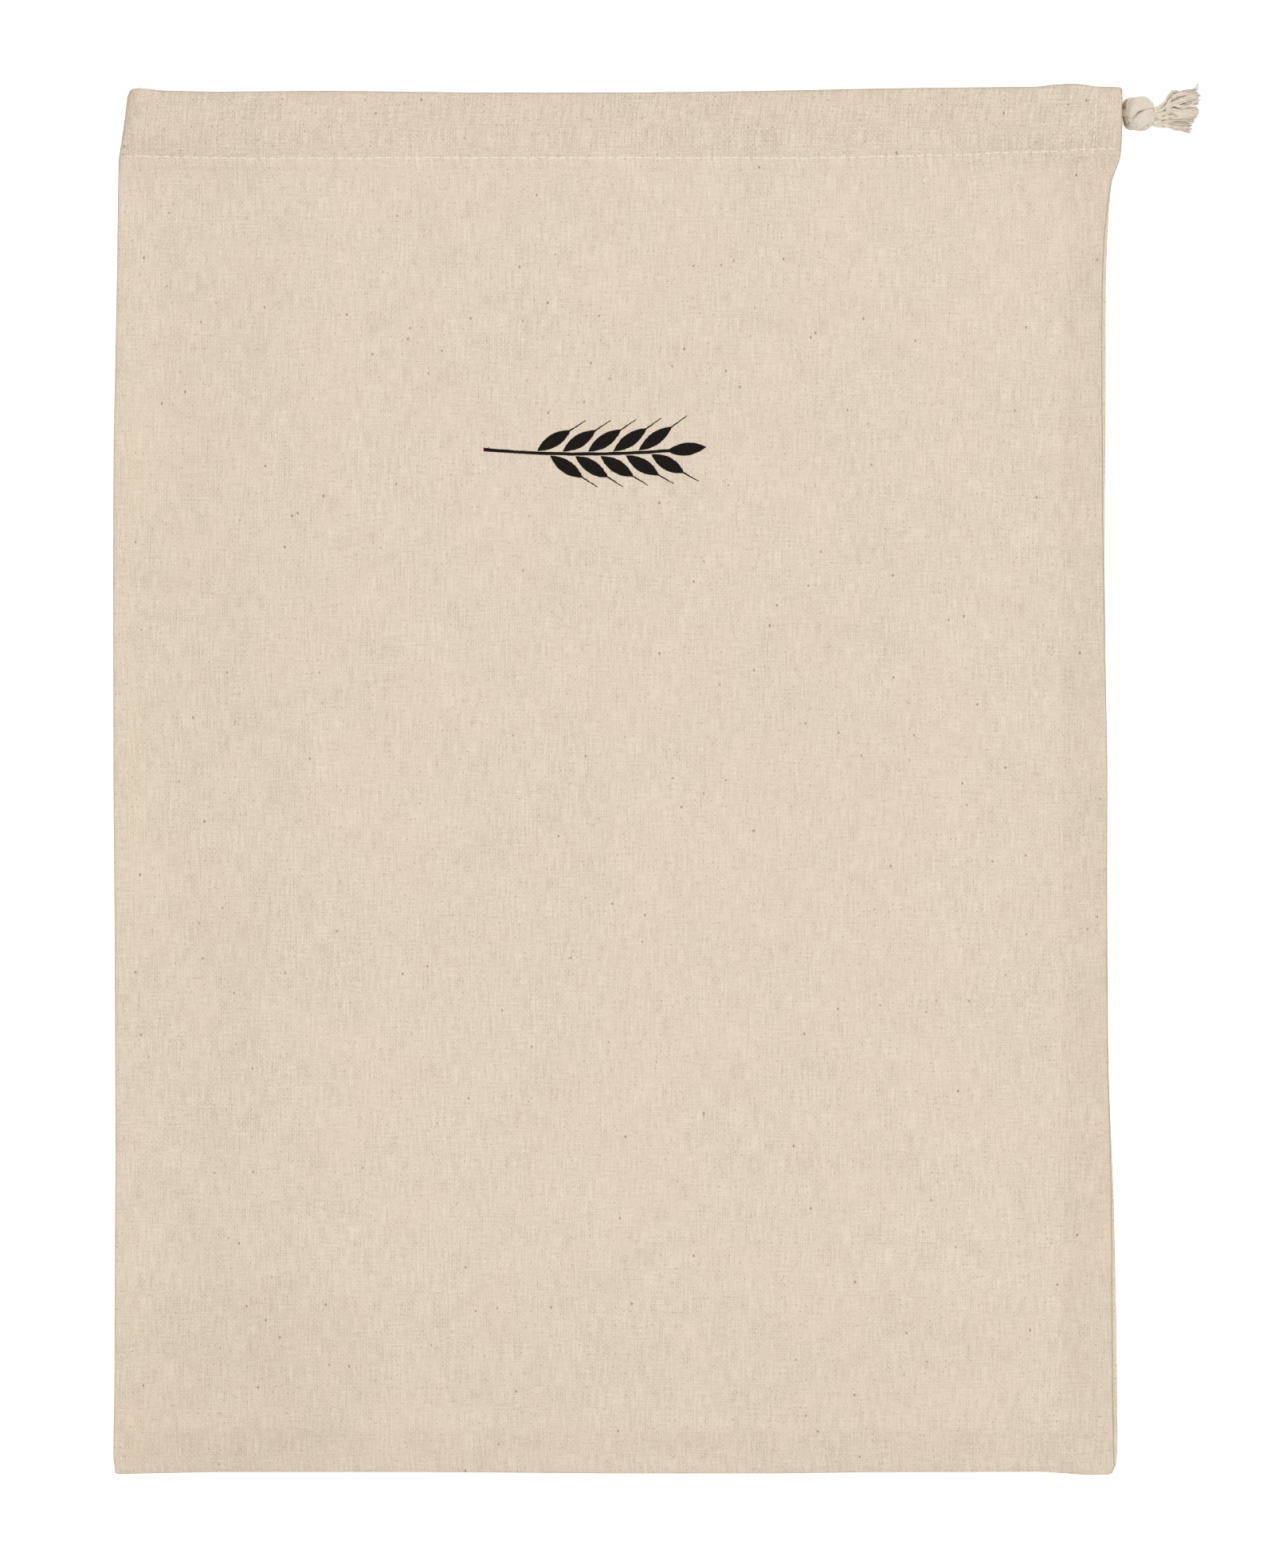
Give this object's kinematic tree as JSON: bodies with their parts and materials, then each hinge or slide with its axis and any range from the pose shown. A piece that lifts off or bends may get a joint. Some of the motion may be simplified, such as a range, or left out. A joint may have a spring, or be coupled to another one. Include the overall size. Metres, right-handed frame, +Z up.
{
  "type": "bread bag",
  "caption": "Flat cotton drawstring bag lying on its back, hemmed casing at the mouth, cord ends knotted and frayed beyond the slit at the right.",
  "frame": {"origin": "middle of the bag's back, on the surface it lies on", "axes": "+Z up, away from the surface; +Y towards the mouth; +X towards the side with the slit and the knot"},
  "size_m": [0.3279, 0.4183, 0.0149],
  "materials": {
    "cloth": "unbleached plain-weave cotton, matt, with slubs and small dark seed flecks",
    "cord": "soft twisted natural cotton cord, matt",
    "frayed_cord": "loose natural cotton yarns, matt"
  },
  "bodies": {
    "root": {"bag_cloth": "cloth", "drawstring": "cord", "cord_knot": "cord", "frayed_ends": "frayed_cord"}
  },
  "joints": []
}
